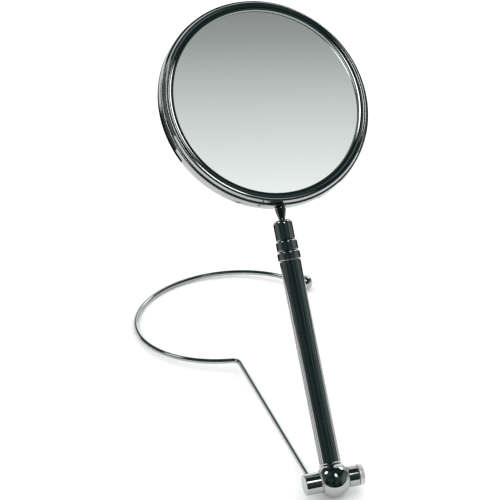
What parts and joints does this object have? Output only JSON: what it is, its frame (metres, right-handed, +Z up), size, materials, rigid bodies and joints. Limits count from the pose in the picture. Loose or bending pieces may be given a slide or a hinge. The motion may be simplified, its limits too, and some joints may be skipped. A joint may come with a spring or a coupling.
{
  "type": "extendable shaving mirror",
  "caption": "Two-sided round chrome shaving mirror on a ball joint and telescopic fluted handle, hinged to a wire stand whose open loop is table foot and neck hook.",
  "frame": {"origin": "on the table, under the middle of the object's bounding box at rest", "axes": "+X along the hinge barrel, from the wire leg's side to the clamp screw's side; +Y from the hinge back to the wire loop; +Z up"},
  "size_m": [0.1406, 0.304, 0.2499],
  "materials": {
    "chrome": "bright polished chrome plating",
    "mirror_glass": "silvered glass",
    "spring_steel": "plain zinc-plated steel",
    "brass": "turned brass",
    "nylon": "natural nylon",
    "core_board": "dark moulded board",
    "foam": "thin closed-cell foam pad"
  },
  "bodies": {
    "stand": {"wire_stand": "chrome", "tip_ball": "chrome", "hinge_spindle": "chrome", "friction_washer_left": "nylon", "friction_washer_right": "nylon", "barrel_right": "chrome", "spring_washer": "spring_steel", "clamp_screw": "spring_steel", "end_cap": "chrome"},
    "handle": {"hub_ball": "chrome", "grip_stud": "spring_steel", "grip_ring": "chrome", "grip_plug": "brass", "grip_tube": "chrome", "grip_ferrule": "chrome", "grip_bush": "nylon"},
    "middle_section": {"middle_stop": "nylon", "middle_tube": "chrome", "middle_collar": "chrome", "middle_bush": "nylon"},
    "inner_section": {"inner_stop": "nylon", "inner_tube": "chrome", "spring_plug": "brass", "seat_spring": "spring_steel", "socket_cap": "chrome"},
    "seat": {"ball_seat": "nylon"},
    "head": {"ball_stud": "chrome", "stem_cone": "chrome", "stem_flange": "chrome", "stem_nut": "spring_steel", "carrier_ring": "chrome", "front_bezel": "chrome", "front_mirror": "mirror_glass", "front_foam": "foam", "core_disc": "core_board", "rear_foam": "foam", "rear_bezel": "chrome", "rear_mirror": "mirror_glass"}
  },
  "joints": [
    {"name": "hub_hinge", "type": "hinge", "parent": "stand", "child": "handle", "pos_m": [-0.00251, -0.14128, 0.0107], "axis": [1, 0, 0], "range_deg": [-34, 124]},
    {"name": "middle_slide", "type": "slide", "parent": "handle", "child": "middle_section", "axis": [0, 0.5678, 0.8231], "range_m": [0, 0.095]},
    {"name": "inner_slide", "type": "slide", "parent": "middle_section", "child": "inner_section", "axis": [0, 0.5678, 0.8231], "range_m": [0, 0.085]},
    {"name": "head_swivel", "type": "hinge", "parent": "inner_section", "child": "seat", "pos_m": [-0.00251, -0.0523, 0.13969], "axis": [0, 0.5678, 0.8231], "continuous": true},
    {"name": "head_tilt", "type": "hinge", "parent": "seat", "child": "head", "pos_m": [-0.00251, -0.0523, 0.13969], "axis": [-0.993, -0.0975, 0.0672], "range_deg": [-35, 20]}
  ]
}
